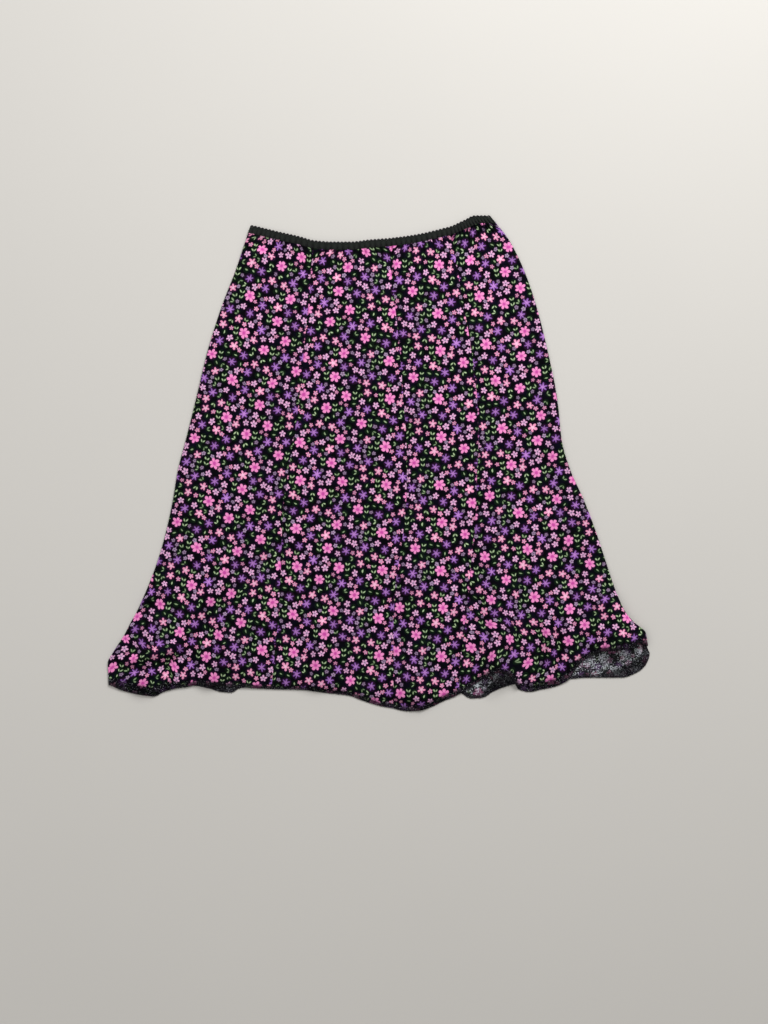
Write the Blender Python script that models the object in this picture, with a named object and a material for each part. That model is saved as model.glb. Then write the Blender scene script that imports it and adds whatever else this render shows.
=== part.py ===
# A flared gored skirt laid flat, its front on its back: eight gores and a picot waist elastic.
# Lengths in the tables are millimetres. The waist is towards +Y, the hem towards -Y, and Z is up.
# A station counts gores from the left fold: 0 there, 1 to 3 at the seams and 4 at the right fold.
import math
from bisect import bisect
from collections import namedtuple

import bmesh
import bpy
from mathutils import Vector

MM = 0.001
CLOTH_WALL = 1.2
SEAM_GAP = 0.3
ELASTIC_WALL = 1.6
ELASTIC_HEIGHT = 9.5
PICOT_COUNT = 67
PICOT_RISE = 1.8

# How the laid layers stand: the front's middle over the back, its fall past the back's hem.
FRONT_REST = 3.6
BODY_LOFT = 2.2
DROOP = 10.0
TURN_LEAST = 1.5
TURN_SHARE = 0.9
TURN_STEPS = 3
DRAWN_FROM = 0.72

GATHERS_PER_GORE = 5
GATHER_RISE = 1.3
GATHER_FADE = 26.0
GATHER_UNEVEN = 0.35
GATHER_BEAT = 5.1

ROW_COUNT = 22
GATHERED_ROWS = 7
GORE_COUNT = 4
SLOPE_STEP = 0.5

Section = namedtuple("Section", "level left_fold left_seam middle_seam right_seam right_fold")
SECTIONS = (
    Section(346, -175, -88, 7, 94, 151),
    Section(313, -186, -92, 13, 102, 179),
    Section(271, -200, -95, 17, 110, 202),
    Section(222, -219, -99, 22, 118, 219),
    Section(159, -239, -105, 29, 129, 235),
    Section(89, -256, -112, 34, 137, 249),
    Section(33, -270, -120, 38, 139, 255),
    Section(-9, -281, -127, 39, 137, 267),
    Section(-51, -288, -133, 38, 136, 286),
    Section(-93, -297, -136, 34, 133, 302),
    Section(-135, -309, -137, 28, 129, 316),
    Section(-177, -325, -139, 22, 125, 330),
    Section(-208, -339, -140, 21, 122, 344),
    Section(-222, -347, -141, 20, 120, 356),
    Section(-236, -354, -143, 20, 119, 372),
    Section(-258, -368, -146, 20, 116, 377),
    Section(-278, -379, -147, 20, 113, 379),
    Section(-309, -378, -150, 20, 112, 378),
    Section(-348, -371, -153, 20, 109, 365),
)

Edge = namedtuple("Edge", "station level")
WAIST = (
    Edge(0.0, 332), Edge(0.2, 328), Edge(0.5, 322), Edge(0.8, 316), Edge(1.0, 311),
    Edge(1.25, 309), Edge(1.5, 309), Edge(1.75, 312), Edge(2.0, 314), Edge(2.5, 320),
    Edge(2.9, 328), Edge(3.0, 330), Edge(3.4, 340), Edge(3.7, 346), Edge(4.0, 346),
)
# The hem as it was cut, and then where folds draw each layer's hem up or let it swing out.
CUT_HEM = (Edge(0, -309), Edge(1, -327), Edge(2, -341), Edge(3, -337), Edge(4, -270))
FRONT_HEM = (
    Edge(0.0, -309), Edge(0.09, -318), Edge(0.19, -323), Edge(0.27, -325), Edge(0.33, -319),
    Edge(0.41, -314), Edge(0.48, -312), Edge(0.55, -308), Edge(0.61, -309), Edge(0.78, -312),
    Edge(1.0, -315), Edge(1.24, -316), Edge(1.43, -320), Edge(1.63, -324), Edge(1.78, -333),
    Edge(1.93, -340), Edge(2.23, -346), Edge(2.41, -345), Edge(2.59, -340), Edge(2.77, -332),
    Edge(3.0, -322), Edge(3.06, -312), Edge(3.13, -300), Edge(3.2, -291), Edge(3.27, -298),
    Edge(3.32, -316), Edge(3.38, -319), Edge(3.43, -316), Edge(3.5, -312), Edge(3.57, -303),
    Edge(3.61, -286), Edge(3.65, -274), Edge(3.7, -267), Edge(3.75, -262), Edge(3.84, -260),
    Edge(3.93, -255), Edge(3.97, -259), Edge(4.0, -271),
)
BACK_HEM = (
    Edge(0.0, -309), Edge(0.1, -312), Edge(0.3, -314), Edge(0.5, -310), Edge(0.61, -314),
    Edge(0.69, -319), Edge(0.75, -320), Edge(0.8, -314), Edge(0.9, -310), Edge(1.0, -309),
    Edge(1.5, -313), Edge(2.0, -324), Edge(2.5, -327), Edge(3.0, -320), Edge(3.07, -328),
    Edge(3.13, -327), Edge(3.18, -319), Edge(3.24, -312), Edge(3.3, -308), Edge(3.45, -306),
    Edge(3.55, -302), Edge(3.65, -299), Edge(3.84, -298), Edge(3.93, -295), Edge(3.98, -286),
    Edge(4.0, -271),
)

# Soft folds of the front, from nothing at the top to their full rise at the hem.
Fold = namedtuple("Fold", "top_place top_level hem_place hem_level rise top_width hem_width")
FOLDS = (
    Fold(-286, -135, -326, -317, 9, 20, 30),
    Fold(-132, -51, -239, -312, 8, 22, 26),
    Fold(-69, -23, -76, -317, 5, 45, 50),
    Fold(74, -9, 55, -342, 8, 36, 44),
    Fold(167, -93, 168, -292, 22, 18, 23),
    Fold(232, -51, 237, -312, 4, 24, 22),
    Fold(309, -135, 340, -262, 21, 26, 40),
)

# The pieces of one layer: which fold they reach, and how many columns they are worked in.
Gore = namedtuple("Gore", "place first_station front_columns back_columns halved")
GORES = (
    Gore("left_side", 0, 20, 16, False),
    Gore("left_middle", 1, 20, 8, True),
    Gore("right_middle", 2, 20, 8, True),
    Gore("right_side", 3, 22, 16, False),
)

CLOTH_COLOUR = (0.10, 0.065, 0.098, 1.0)
CLOTH_ROUGHNESS = 0.85
ELASTIC_COLOUR = (0.012, 0.011, 0.013, 1.0)
ELASTIC_ROUGHNESS = 0.7


def remove_start_objects():
    for start_object in list(bpy.data.objects):
        bpy.data.objects.remove(start_object, do_unlink=True)


def mix(first, second, share):
    return first + (second - first) * share


def ease(share):
    share = min(max(share, 0.0), 1.0)
    return share * share * (3 - 2 * share)


def smooth_curve(points):
    """A curve through (place, value) points that never swings past them, as a function of place."""
    points = sorted(points)
    places = [place for place, _ in points]
    values = [value for _, value in points]
    steps = [
        (values[i + 1] - values[i]) / (places[i + 1] - places[i]) for i in range(len(points) - 1)
    ]
    slopes = [steps[0]]
    for before, after in zip(steps, steps[1:]):
        turns_back = before * after <= 0
        slopes.append(0.0 if turns_back else 2 * before * after / (before + after))
    slopes.append(steps[-1])

    def read(place):
        i = min(max(bisect(places, place) - 1, 0), len(places) - 2)
        width = places[i + 1] - places[i]
        share = min(max((place - places[i]) / width, 0.0), 1.0)
        rest = 1 - share
        ends = values[i] * rest * rest * (1 + 2 * share) + values[i + 1] * share * share * (3 - 2 * share)
        return ends + width * share * rest * (slopes[i] * rest - slopes[i + 1] * share)

    return read


LINES = [
    smooth_curve([(section.level, section[station + 1]) for section in SECTIONS])
    for station in range(GORE_COUNT + 1)
]
waist_level = smooth_curve(WAIST)
cut_hem_level = smooth_curve(CUT_HEM)
HEM_LEVELS = {"front": smooth_curve(FRONT_HEM), "back": smooth_curve(BACK_HEM)}


def across(station, level):
    """How far across the garment a station lies at one level."""
    left = min(int(station), GORE_COUNT - 1)
    return mix(LINES[left](level), LINES[left + 1](level), station - left)


def station_at(place, level):
    marks = [line(level) for line in LINES]
    left = min(max(bisect(marks, place) - 1, 0), GORE_COUNT - 1)
    share = (place - marks[left]) / (marks[left + 1] - marks[left])
    return left + min(max(share, 0.0), 1.0)


def gore_top(station):
    return waist_level(station) - ELASTIC_HEIGHT - SEAM_GAP


def gore_level(layer, station, share):
    """The level a share of the way down a gore, its last stretch drawn up or let out by the folds."""
    plain = mix(gore_top(station), cut_hem_level(station), share)
    drawn = HEM_LEVELS[layer](station) - cut_hem_level(station)
    return plain + drawn * ease((share - DRAWN_FROM) / (1 - DRAWN_FROM))


def fold_rise(fold, place, level):
    share = (fold.top_level - level) / (fold.top_level - fold.hem_level)
    share = min(max(share, 0.0), 1.0)
    axis = mix(fold.top_place, fold.hem_place, share)
    width = mix(fold.top_width, fold.hem_width, share)
    return fold.rise * ease(share) * math.exp(-(((place - axis) / width) ** 2))


def gather_rise(station, level):
    """Small gathers held by the elastic, full at its seam and fading down the cloth."""
    below = gore_top(station) - level
    strength = ease(1 + below / ELASTIC_HEIGHT) * math.exp(-max(below, 0.0) / GATHER_FADE)
    unevenness = 1 + GATHER_UNEVEN * math.sin(GATHER_BEAT * station)
    wave = 0.5 - 0.5 * math.cos(2 * math.pi * GATHERS_PER_GORE * station)
    return GATHER_RISE * strength * unevenness * wave


def front_height(place, level):
    """The height of the front layer's middle over what the skirt lies on."""
    station = station_at(place, level)
    overhang = ease((HEM_LEVELS["back"](station) - level) / DROOP)
    loft = BODY_LOFT * math.sin(math.pi * station / GORE_COUNT)
    rest = mix(FRONT_REST + loft, CLOTH_WALL / 2, overhang)
    folds = sum(fold_rise(fold, place, level) for fold in FOLDS)
    return rest + folds + gather_rise(station, level)


def front_facing(place, level):
    """The unit normal of the front layer."""
    rise_across = front_height(place + SLOPE_STEP, level) - front_height(place - SLOPE_STEP, level)
    rise_along = front_height(place, level + SLOPE_STEP) - front_height(place, level - SLOPE_STEP)
    return Vector((-rise_across, -rise_along, 2 * SLOPE_STEP)).normalized()


def cloth_at(layer, column, level, half_wall):
    """The middle point and outward normal of a layer, round the side fold where the column bends."""
    station, bend, shift = column
    outward = -1 if station < GORE_COUNT / 2 else 1
    near_fold = max(1 - station, station - (GORE_COUNT - 1), 0.0)
    fold_place = across(0 if outward < 0 else GORE_COUNT, level)
    fold_height = front_height(fold_place, level)
    radius = TURN_LEAST + TURN_SHARE * (fold_height - half_wall) / 2
    place = across(station, level) - outward * radius * (1 - math.cos(bend)) * near_fold + shift
    middle = (fold_height + half_wall) / 2
    if layer == "front":
        start, height, flat = middle + SEAM_GAP / 2, front_height(place, level), front_facing(place, level)
    else:
        start, height, flat = middle - SEAM_GAP / 2, half_wall, Vector((0, 0, -1))
    point = Vector((place, level, mix(start, height, math.sin(bend))))
    normal = flat * math.sin(bend) + Vector((outward, 0, 0)) * math.cos(bend)
    return point, normal.normalized()


def columns_of(first, last, count):
    """Columns as (station, bend, shift), with the turn round a side fold where the piece reaches it."""
    flat = math.pi / 2
    turn = [flat * step / TURN_STEPS for step in range(TURN_STEPS)]
    columns = [[mix(first, last, step / count), flat, 0.0] for step in range(count + 1)]
    if first > 0:
        columns[0][2] = SEAM_GAP / 2
    else:
        columns = [[first, bend, 0.0] for bend in turn] + columns
    if last < GORE_COUNT:
        columns[-1][2] = -SEAM_GAP / 2
    else:
        columns += [[last, bend, 0.0] for bend in reversed(turn)]
    return columns


def add_skin(mesh, rows):
    """Faces between neighbouring rows; where the lower row has half the steps, two meet each of its."""
    for upper, lower in zip(rows, rows[1:]):
        for step in range(len(lower) - 1):
            if len(upper) == len(lower):
                mesh.faces.new((upper[step], upper[step + 1], lower[step + 1], lower[step]))
                continue
            first, middle, last = upper[2 * step : 2 * step + 3]
            mesh.faces.new((first, middle, lower[step]))
            mesh.faces.new((middle, lower[step + 1], lower[step]))
            mesh.faces.new((middle, last, lower[step + 1]))


def rim_of(rows):
    left = [row[0] for row in rows]
    right = [row[-1] for row in rows]
    return rows[0] + right[1:] + rows[-1][-2::-1] + left[-2:0:-1]


def make_wall(name, rows, half_wall, material, garment):
    """A closed wall of cloth about rows of (point, normal), as one named object."""
    mesh = bmesh.new()
    skins = []
    for side in (1, -1):
        skins.append([
            [mesh.verts.new((point + normal * half_wall * side) * MM) for point, normal in row]
            for row in rows
        ])
        add_skin(mesh, skins[-1])
    outer, inner = (rim_of(skin) for skin in skins)
    for here in range(len(outer)):
        before = here - 1
        mesh.faces.new((outer[before], outer[here], inner[here], inner[before]))
    bmesh.ops.recalc_face_normals(mesh, faces=mesh.faces)
    data = bpy.data.meshes.new(name)
    mesh.to_mesh(data)
    mesh.free()
    data.materials.append(material)
    data.shade_smooth()
    data.set_sharp_from_angle(angle=math.radians(50))
    piece = bpy.data.objects.new(name, data)
    piece.parent = garment
    bpy.context.scene.collection.objects.link(piece)
    return piece


def make_gore(layer, gore, material, garment):
    count = gore.front_columns if layer == "front" else gore.back_columns
    columns = columns_of(gore.first_station, gore.first_station + 1, count)
    rows = []
    for row in range(ROW_COUNT + 1):
        # Rows close up towards the waist's gathers and the hem's folds.
        share = (1 - math.cos(math.pi * row / ROW_COUNT)) / 2
        thinned = gore.halved and layer == "front" and row > GATHERED_ROWS
        rows.append([
            cloth_at(layer, column, gore_level(layer, column[0], share), CLOTH_WALL / 2)
            for column in (columns[::2] if thinned else columns)
        ])
    return make_wall(f"{layer}_gore_{gore.place}", rows, CLOTH_WALL / 2, material, garment)


def make_elastic(layer, material, garment):
    """Half of the waist elastic: a narrow band over the gores' tops, its upper edge in small picots."""
    columns = columns_of(0, GORE_COUNT, 2 * PICOT_COUNT)
    top_row, seam_row = [], []
    for step, column in enumerate(columns):
        level = waist_level(column[0])
        on_turn = column[1] < math.pi / 2
        picot = 0.0 if on_turn or (step - TURN_STEPS) % 2 == 0 else PICOT_RISE
        top_row.append(cloth_at(layer, column, level - PICOT_RISE / 2 + picot, ELASTIC_WALL / 2))
        seam_row.append(cloth_at(layer, column, level - ELASTIC_HEIGHT, ELASTIC_WALL / 2))
    return make_wall(f"waist_elastic_{layer}", [top_row, seam_row], ELASTIC_WALL / 2, material, garment)


def make_material(name, colour, roughness):
    material = bpy.data.materials.new(name)
    material.use_nodes = True
    shader = material.node_tree.nodes["Principled BSDF"]
    shader.inputs["Base Color"].default_value = colour
    shader.inputs["Roughness"].default_value = roughness
    shader.inputs["Metallic"].default_value = 0.0
    return material


def centre_on_floor(garment, pieces):
    """Moves the whole garment so that its box is centred over the origin and rests on Z = 0."""
    corners = [vertex.co for piece in pieces for vertex in piece.data.vertices]
    lowest = Vector([min(corner[axis] for corner in corners) for axis in range(3)])
    highest = Vector([max(corner[axis] for corner in corners) for axis in range(3)])
    centre = (lowest + highest) / 2
    garment.location = (-centre.x, -centre.y, -lowest.z)


def main():
    remove_start_objects()
    garment = bpy.data.objects.new("skirt", None)
    bpy.context.scene.collection.objects.link(garment)
    cloth = make_material("printed_cloth", CLOTH_COLOUR, CLOTH_ROUGHNESS)
    elastic = make_material("waist_elastic", ELASTIC_COLOUR, ELASTIC_ROUGHNESS)
    pieces = []
    for layer in ("back", "front"):
        pieces += [make_gore(layer, gore, cloth, garment) for gore in GORES]
        pieces.append(make_elastic(layer, elastic, garment))
    centre_on_floor(garment, pieces)


main()
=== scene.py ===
# The looks of a flared gored skirt, laid flat: printed cloth, hem stitching, waist elastic and stage.
# Lengths in the tables are millimetres. A station counts gores from the left fold: 0 there, 1 to 3 at
# the seams and 4 at the right fold. A share runs down a gore, from 0 at the waist to 1 at the hem.
import math
import random
from bisect import bisect
from collections import namedtuple

import bpy
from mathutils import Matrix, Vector, noise


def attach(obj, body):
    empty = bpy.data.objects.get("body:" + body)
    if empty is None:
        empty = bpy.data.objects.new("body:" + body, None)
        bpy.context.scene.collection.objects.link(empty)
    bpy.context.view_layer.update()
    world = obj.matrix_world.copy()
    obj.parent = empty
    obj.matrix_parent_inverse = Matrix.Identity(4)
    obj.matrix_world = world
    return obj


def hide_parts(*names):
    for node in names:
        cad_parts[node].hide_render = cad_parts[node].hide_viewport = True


bl_info = {
    "name": "Laid Skirt",
    "version": (1, 0, 0),
    "blender": (4, 5, 0),
    "location": "View3D > Sidebar > Skirt",
    "description": "Dresses a gored skirt, laid flat, in printed cloth, elastic and stitching",
    "category": "Object",
}

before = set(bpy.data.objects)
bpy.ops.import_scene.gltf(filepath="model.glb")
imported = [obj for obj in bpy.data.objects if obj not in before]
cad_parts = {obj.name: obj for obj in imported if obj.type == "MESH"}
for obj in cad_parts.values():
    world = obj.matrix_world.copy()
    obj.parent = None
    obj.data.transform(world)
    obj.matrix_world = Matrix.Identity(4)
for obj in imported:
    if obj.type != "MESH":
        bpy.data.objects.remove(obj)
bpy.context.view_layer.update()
BODY = "root"

MM = 0.001
FULL_TURN = 2 * math.pi
FLAT_TURN = FULL_TURN / 4
GORE_COUNT = 4
# The garment's middle in the tables lies this far from the frame's origin.
MIDDLE_SHIFT = (0.2, -0.5)
CAD_WALL = 1.2
SEAM_GAP = 0.3
ELASTIC_HEIGHT = 9.0

# The front rests this high and bulges by the loft between the side folds. Where it hangs out below the
# back's hem, it droops to the floor over a short stretch.
FRONT_REST = 3.6
BODY_LOFT = 2.2
DROOP = 10.0
# A side fold is this round at least, and rounder by a share of its height.
TURN_LEAST = 2.0
TURN_SHARE = 0.9
# The side folds close to this share of their roundness over the last stretch above the hem.
HEM_TURN = 0.15
HEM_TURN_REACH = 24.0
# From this share down a gore, its levels are drawn towards the line of the hem.
DRAWN_FROM = 0.72

GATHERS_PER_GORE = 5
GATHER_RISE = 1.3
GATHER_FADE = 26.0
GATHER_UNEVEN = 0.35
GATHER_BEAT = 5.1


def table(columns, lines):
    """A table's lines as rows with named columns."""
    row = namedtuple("Row", columns)
    return [row(*line) for line in lines]


SECTIONS = table("level left_fold left_seam middle_seam right_seam right_fold", (
    (346, -175, -88, 7, 95, 155),
    (313, -186, -92, 13, 102, 181),
    (271, -200, -95, 17, 110, 202),
    (222, -219, -99, 22, 118, 219),
    (159, -239, -105, 29, 129, 235),
    (89, -256, -112, 34, 137, 249),
    (33, -270, -120, 38, 139, 255),
    (-9, -281, -127, 39, 137, 267),
    (-51, -288, -133, 38, 136, 286),
    (-93, -297, -136, 34, 133, 302),
    (-135, -309, -137, 28, 129, 316),
    (-177, -325, -139, 22, 125, 330),
    (-208, -339, -140, 21, 122, 344),
    (-222, -347, -141, 20, 120, 356),
    (-236, -354, -143, 20, 119, 372),
    (-258, -368, -146, 20, 116, 376),
    (-266, -373, -146, 20, 115, 381),
    (-278, -379, -147, 20, 113, 381),
    (-309, -378, -150, 20, 112, 378),
    (-348, -371, -153, 20, 109, 365),
))

EDGE = "station level"
WAIST = table(EDGE, (
    (0.0, 332), (0.2, 328), (0.5, 322), (0.8, 316), (1.0, 311), (1.25, 309), (1.5, 309), (1.75, 312),
    (2.0, 314), (2.5, 320), (2.9, 328), (3.0, 330), (3.4, 340), (3.7, 346), (4.0, 346),
))
CUT_HEM = table(EDGE, ((0, -309), (1, -327), (2, -341), (3, -337), (4, -270)))
FRONT_HEM = table(EDGE, (
    (0.0, -309), (0.09, -318), (0.19, -323), (0.27, -325), (0.33, -319), (0.41, -314), (0.48, -312),
    (0.55, -308), (0.61, -309), (0.78, -312), (1.0, -315), (1.24, -316), (1.43, -320), (1.63, -324),
    (1.78, -333), (1.93, -340), (2.23, -346), (2.41, -345), (2.59, -340), (2.77, -332), (3.0, -322),
    (3.06, -312), (3.13, -300), (3.2, -291), (3.27, -298), (3.32, -316), (3.38, -319), (3.43, -316),
    (3.5, -312), (3.57, -303), (3.61, -286), (3.65, -274), (3.7, -267), (3.75, -262), (3.84, -260),
    (3.93, -254), (3.97, -251), (4.0, -254),
))
BACK_HEM = table(EDGE, (
    (0.0, -309), (0.1, -312), (0.3, -314), (0.5, -310), (0.61, -314), (0.69, -319), (0.75, -320),
    (0.8, -314), (0.9, -310), (1.0, -309), (1.5, -313), (2.0, -324), (2.5, -327), (3.0, -320),
    (3.07, -328), (3.13, -327), (3.18, -319), (3.24, -312), (3.3, -308), (3.45, -306), (3.55, -302),
    (3.69, -299), (3.855, -299), (3.921, -293), (3.965, -284), (3.99, -271), (4.0, -254),
))

FOLDS = table("top_place top_level hem_place hem_level rise top_width hem_width", (
    (-286, -135, -326, -317, 9, 20, 30),
    (-132, -51, -239, -312, 8, 22, 26),
    (-69, -23, -76, -317, 5, 45, 50),
    (74, -9, 55, -342, 8, 36, 44),
    (167, -93, 168, -292, 22, 18, 23),
    (232, -51, 237, -312, 4, 24, 22),
    (309, -135, 340, -262, 21, 26, 40),
))

# Fine creases of the front: soft troughs where depth is positive, ridges where it is negative.
CREASES = table("first_place first_level last_place last_level depth width", (
    (-176, 316, -140, 286, 1.8, 5),
    (-182, 300, -150, 272, -1.6, 6),
    (-150, 312, -128, 282, 1.2, 5),
    (15, 300, 13, 246, 1.7, 4),
    (22, 296, 24, 250, -1.3, 4),
    (120, 318, 134, 272, 1.7, 5),
    (138, 326, 150, 286, -1.3, 5),
    (60, 306, 66, 262, 1.1, 4),
    (-60, 292, -64, 254, 1.1, 4),
    (-100, 298, -108, 262, 1.0, 4),
    (-262, 40, -225, 20, 1.7, 7),
    (248, 10, 214, -8, 1.7, 7),
    (-122, -40, -146, -128, 2.0, 9),
    (-146, -128, -206, -163, 2.4, 9),
    (-206, -163, -257, -257, 3.4, 8),
    (-222, -150, -280, -262, -3.2, 9),
    (-206, -150, -214, -240, 1.6, 8),
    (113, -72, 134, -124, 2.0, 8),
    (134, -124, 125, -165, 2.0, 8),
    (125, -165, 149, -240, 2.6, 8),
    (104, -170, 118, -262, -2.4, 9),
    (197, -170, 207, -207, 2.0, 9),
    (-8, -181, 21, -216, 1.6, 9),
    (316, -233, 300, -190, 1.8, 8),
    (224, -200, 229, -306, 3.6, 5),
    (236, -206, 239, -312, -3.4, 6),
    (248, -212, 252, -300, 3.2, 5),
    (268, -190, 276, -290, -2.0, 8),
    (-262, -249, -364, -281, -6.0, 6),
    (-250, -262, -350, -298, 2.4, 6),
    (-285, -160, -338, -202, -5.0, 5),
    (-270, -172, -330, -222, 1.6, 6),
    (-330, -306, -270, -240, -4.6, 8),
    (-300, -250, -282, -304, 2.4, 8),
    (60, -250, 84, -322, 2.0, 9),
    (-30, -262, -44, -314, 1.6, 9),
    (-80, -200, -92, -300, -1.8, 10),
    (20, -120, 36, -300, 1.4, 9),
    (-134, 226, -78, 131, -1.8, 6),
    (17, 122, 81, 27, -1.8, 6),
    (153, 138, 193, 58, -1.8, 6),
    (81, -109, 129, -188, -1.9, 6),
    (200, -46, 241, -93, -1.7, 6),
    (-134, -22, -139, -181, 1.8, 6),
    (-365, -286, -230, -282, 2.6, 9),
    (-300, -120, -262, -40, 1.5, 7),
    (-180, 130, -196, 20, 1.4, 7),
    (258, 150, 240, 40, 1.5, 7),
))

GORES = table("place first_station", (
    ("left_side", 0), ("left_middle", 1), ("right_middle", 2), ("right_side", 3),
))


# Sizes and colours that a user would change
def property_maker(make, **fixed):
    """Makes properties of one sort, each from its own name, description, default and range."""
    def made(name, description, default, low=0.0, high=1.0):
        return make(name=name, description=description, default=default, min=low, max=high, **fixed)

    return made


size_property = property_maker(bpy.props.FloatProperty, unit="LENGTH", precision=4)
share_property = property_maker(bpy.props.FloatProperty, subtype="FACTOR")
amount_property = property_maker(bpy.props.FloatProperty)
count_property = property_maker(bpy.props.IntProperty)
colour_property = property_maker(bpy.props.FloatVectorProperty, size=3, subtype="COLOR")


class SkirtClothSettings(bpy.types.PropertyGroup):
    wall: size_property("Wall", "Thickness of the cloth", 0.0010, 0.0004, 0.0012)
    front_columns: count_property("Front Columns", "Steps across a front gore", 88, 20, 140)
    front_rows: count_property("Front Rows", "Steps down a front gore", 216, 40, 300)
    back_columns: count_property("Back Columns", "Steps across a back gore", 76, 12, 140)
    back_rows: count_property("Back Rows", "Steps down a back gore", 110, 30, 300)
    crease_strength: amount_property("Creases", "How strongly the fine creases show", 1.5, 0.0, 3.0)
    seam_roll: size_property("Seam Roll", "How far the cloth rolls down into a seam", 0.0014, 0.0, 0.002)
    ground: colour_property("Ground", "Colour of the cloth between the flowers", (0.0022, 0.0020, 0.0032))
    wrong_side: colour_property("Wrong Side", "Pale tint of the cloth's inner side", (0.50, 0.53, 0.57))
    wrong_side_fade: share_property("Wrong Side Fade", "How far the print is lost on the inside", 0.82)
    roughness: share_property("Roughness", "Roughness of the cloth", 0.86)
    sheen: share_property("Sheen", "Sheen of the cloth's nap", 0.01)
    gloss: share_property("Gloss", "Strength of the cloth's highlights", 0.02)


class SkirtPrintSettings(bpy.types.PropertyGroup):
    repeat: size_property("Repeat", "Width and height of the print's repeat", 0.12, 0.05, 0.3)
    seed: count_property("Seed", "Chooses how the flowers are scattered", 7, 0, 999)
    pink: colour_property("Pink", "Petals of the large flowers", (0.94, 0.30, 0.62))
    magenta: colour_property("Magenta", "Throats of the large flowers", (0.60, 0.08, 0.38))
    peach: colour_property("Peach", "Hearts of the star flowers", (0.96, 0.55, 0.74))
    coral: colour_property("Coral", "Petals of the star flowers", (0.92, 0.34, 0.55))
    lilac: colour_property("Lilac", "Petals of the lilac star flowers", (0.29, 0.12, 0.45))
    orchid: colour_property("Orchid", "Hearts of the lilac star flowers", (0.56, 0.25, 0.70))
    pale: colour_property("Pale", "Petals of the small flowers", (0.84, 0.44, 0.70))
    violet: colour_property("Violet", "Hearts of the small flowers", (0.10, 0.015, 0.10))
    bud: colour_property("Bud", "The smallest flowers, still in bud", (0.42, 0.31, 0.46))
    leaf: colour_property("Leaf", "The brighter leaves", (0.49, 0.65, 0.37))
    old_leaf: colour_property("Old Leaf", "The duller leaves", (0.13, 0.21, 0.10))
    leaf_shade: colour_property("Leaf Shade", "The ground close to a leaf", (0.004, 0.012, 0.005))
    flower_shade: colour_property("Flower Shade", "The ground close to a flower", (0.020, 0.005, 0.024))


class SkirtElasticSettings(bpy.types.PropertyGroup):
    wall: size_property("Wall", "Thickness of the elastic", 0.0014, 0.0006, 0.0016)
    picots: count_property("Picots", "Picot loops along one side", 67, 20, 120)
    rib_rise: size_property("Rib Rise", "Height of the elastic's ribs", 0.00025, 0.0, 0.0006)
    colour: colour_property("Colour", "Colour of the elastic", (0.0060, 0.0072, 0.0062))


class SkirtHemSettings(bpy.types.PropertyGroup):
    pitch: size_property("Stitch Pitch", "Distance between overlock stitches", 0.0016, 0.0012, 0.006)
    depth: size_property("Stitch Depth", "How far the stitches reach into the cloth", 0.0042, 0.002, 0.008)
    thread: size_property("Thread", "Thickness of the sewing thread", 0.00056, 0.0002, 0.001)
    colour: colour_property("Colour", "Colour of the hem thread", (0.006, 0.005, 0.007))


class SkirtStageSettings(bpy.types.PropertyGroup):
    floor_colour: colour_property("Floor", "Colour of the floor", (0.56, 0.545, 0.515))
    floor_size: size_property("Floor Size", "Width of the floor", 8.0, 2.0, 30.0)
    view_width: size_property("View Width", "Width that the camera sees", 1.0752, 0.5, 3.0)
    lens: amount_property("Lens", "Camera lens in millimetres", 70.0, 20.0, 200.0)


SETTINGS = {
    "skirt_cloth": SkirtClothSettings,
    "skirt_print": SkirtPrintSettings,
    "skirt_elastic": SkirtElasticSettings,
    "skirt_hem": SkirtHemSettings,
    "skirt_stage": SkirtStageSettings,
}


# The form of the laid cloth
def mix(first, second, share):
    return first + (second - first) * share


def clamp(share):
    return min(max(share, 0.0), 1.0)


def ease(share):
    share = clamp(share)
    return share * share * (3 - 2 * share)


def smooth_curve(points):
    """A curve through (place, value) points that never swings past them, as a function of place."""
    points = sorted(points)
    places = [place for place, _ in points]
    values = [value for _, value in points]
    steps = [(values[i + 1] - values[i]) / (places[i + 1] - places[i]) for i in range(len(points) - 1)]
    slopes = [steps[0]]
    for before, after in zip(steps, steps[1:]):
        turns_back = before * after <= 0
        slopes.append(0.0 if turns_back else 2 * before * after / (before + after))
    slopes.append(steps[-1])

    def read(place):
        i = min(max(bisect(places, place) - 1, 0), len(places) - 2)
        width = places[i + 1] - places[i]
        share = clamp((place - places[i]) / width)
        rest = 1 - share
        ends = values[i] * rest * rest * (1 + 2 * share) + values[i + 1] * share * share * (3 - 2 * share)
        return ends + width * share * rest * (slopes[i] * rest - slopes[i + 1] * share)

    return read


LINES = [
    smooth_curve([(section.level, section[station + 1]) for section in SECTIONS])
    for station in range(GORE_COUNT + 1)
]
waist_level = smooth_curve(WAIST)
cut_hem_level = smooth_curve(CUT_HEM)
HEM_LEVELS = {"front": smooth_curve(FRONT_HEM), "back": smooth_curve(BACK_HEM)}


def across(station, level):
    """How far across the garment a station lies at one level."""
    left = min(int(station), GORE_COUNT - 1)
    return mix(LINES[left](level), LINES[left + 1](level), station - left)


def station_at(place, level):
    marks = [line(level) for line in LINES]
    left = min(max(bisect(marks, place) - 1, 0), GORE_COUNT - 1)
    return left + clamp((place - marks[left]) / (marks[left + 1] - marks[left]))


def gore_top(station):
    return waist_level(station) - ELASTIC_HEIGHT - SEAM_GAP


def gore_level(layer, station, share):
    """The level a share of the way down a gore, its last stretch drawn up or let out by the folds."""
    plain = mix(gore_top(station), cut_hem_level(station), share)
    drawn = HEM_LEVELS[layer](station) - cut_hem_level(station)
    return plain + drawn * ease((share - DRAWN_FROM) / (1 - DRAWN_FROM))


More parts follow.
